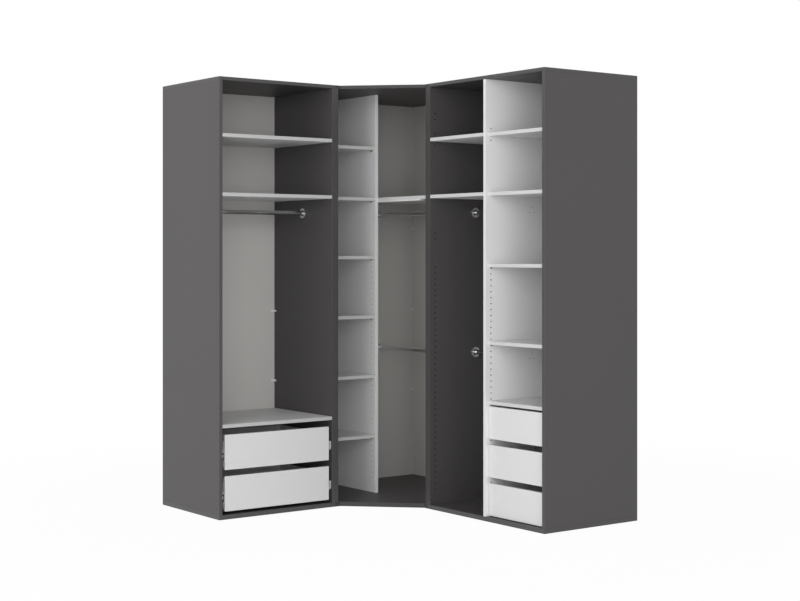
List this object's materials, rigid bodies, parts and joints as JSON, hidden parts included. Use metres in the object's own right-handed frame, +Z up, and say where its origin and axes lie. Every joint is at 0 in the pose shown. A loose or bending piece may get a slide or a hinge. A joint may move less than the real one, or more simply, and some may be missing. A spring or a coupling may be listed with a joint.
{
  "type": "corner wardrobe",
  "caption": "Open corner wardrobe: shelf and rail wing with drawers on each side of a corner cabinet with a diagonal front.",
  "frame": {"origin": "on the floor, under the middle of the whole outline", "axes": "+X along the left wing towards the room's corner, +Y from the left wing's front to its back wall, +Z up; the right wing's front faces -X"},
  "size_m": [1.7784, 2.0344, 2.39],
  "materials": {
    "graphite_board": "matt graphite laminate on chipboard",
    "light_grey_board": "silky light grey laminate on chipboard",
    "back_board": "matt warm grey fibreboard",
    "chrome_rail": "polished chrome plate",
    "drawer_runner": "light grey powder-coated steel"
  },
  "bodies": {
    "carcass": {"left_wing_end_panel": "graphite_board", "left_wing_inner_side": "graphite_board", "left_wing_top_board": "graphite_board", "left_wing_base_board": "graphite_board", "left_wing_back_panel": "back_board", "left_wing_shelf_1": "light_grey_board", "left_wing_shelf_2": "light_grey_board", "left_wing_drawer_cover_shelf": "light_grey_board", "left_wing_hanging_rail": "chrome_rail", "left_wing_lower_drawer_left_runner": "drawer_runner", "left_wing_lower_drawer_right_runner": "drawer_runner", "left_wing_upper_drawer_left_runner": "drawer_runner", "left_wing_upper_drawer_right_runner": "drawer_runner", "corner_top_board": "graphite_board", "corner_base_board": "graphite_board", "corner_left_side": "graphite_board", "corner_right_side": "graphite_board", "corner_back_left": "back_board", "corner_back_right": "back_board", "corner_divider": "light_grey_board", "corner_bay_shelf_1": "light_grey_board", "corner_bay_shelf_2": "light_grey_board", "corner_bay_shelf_3": "light_grey_board", "corner_bay_shelf_4": "light_grey_board", "corner_bay_shelf_5": "light_grey_board", "corner_bay_shelf_6": "light_grey_board", "corner_wide_shelf": "light_grey_board", "corner_upper_rail": "chrome_rail", "corner_lower_rail": "chrome_rail", "right_wing_inner_side": "graphite_board", "right_wing_end_panel": "graphite_board", "right_wing_top_board": "graphite_board", "right_wing_base_board": "graphite_board", "right_wing_back_panel": "back_board", "right_wing_divider": "light_grey_board", "right_wing_wide_shelf_1": "light_grey_board", "right_wing_wide_shelf_2": "light_grey_board", "right_wing_upper_rail": "chrome_rail", "right_wing_lower_rail": "chrome_rail", "right_wing_shelf_1": "light_grey_board", "right_wing_shelf_2": "light_grey_board", "right_wing_shelf_3": "light_grey_board", "right_wing_shelf_4": "light_grey_board", "right_wing_shelf_5": "light_grey_board", "right_wing_lower_drawer_left_runner": "drawer_runner", "right_wing_lower_drawer_right_runner": "drawer_runner", "right_wing_middle_drawer_left_runner": "drawer_runner", "right_wing_middle_drawer_right_runner": "drawer_runner", "right_wing_upper_drawer_left_runner": "drawer_runner", "right_wing_upper_drawer_right_runner": "drawer_runner"},
    "left_lower_drawer": {"left_wing_lower_drawer_front": "light_grey_board", "left_wing_lower_drawer_box": "light_grey_board"},
    "left_upper_drawer": {"left_wing_upper_drawer_front": "light_grey_board", "left_wing_upper_drawer_box": "light_grey_board"},
    "right_lower_drawer": {"right_wing_lower_drawer_front": "light_grey_board", "right_wing_lower_drawer_box": "light_grey_board"},
    "right_middle_drawer": {"right_wing_middle_drawer_front": "light_grey_board", "right_wing_middle_drawer_box": "light_grey_board"},
    "right_upper_drawer": {"right_wing_upper_drawer_front": "light_grey_board", "right_wing_upper_drawer_box": "light_grey_board"}
  },
  "joints": [
    {"name": "left_lower_slide", "type": "slide", "parent": "carcass", "child": "left_lower_drawer", "axis": [0, -1, 0], "range_m": [0, 0.38]},
    {"name": "left_upper_slide", "type": "slide", "parent": "carcass", "child": "left_upper_drawer", "axis": [0, -1, 0], "range_m": [0, 0.38]},
    {"name": "right_lower_slide", "type": "slide", "parent": "carcass", "child": "right_lower_drawer", "axis": [-1, 0, 0], "range_m": [0, 0.38]},
    {"name": "right_middle_slide", "type": "slide", "parent": "carcass", "child": "right_middle_drawer", "axis": [-1, 0, 0], "range_m": [0, 0.38]},
    {"name": "right_upper_slide", "type": "slide", "parent": "carcass", "child": "right_upper_drawer", "axis": [-1, 0, 0], "range_m": [0, 0.38]}
  ]
}
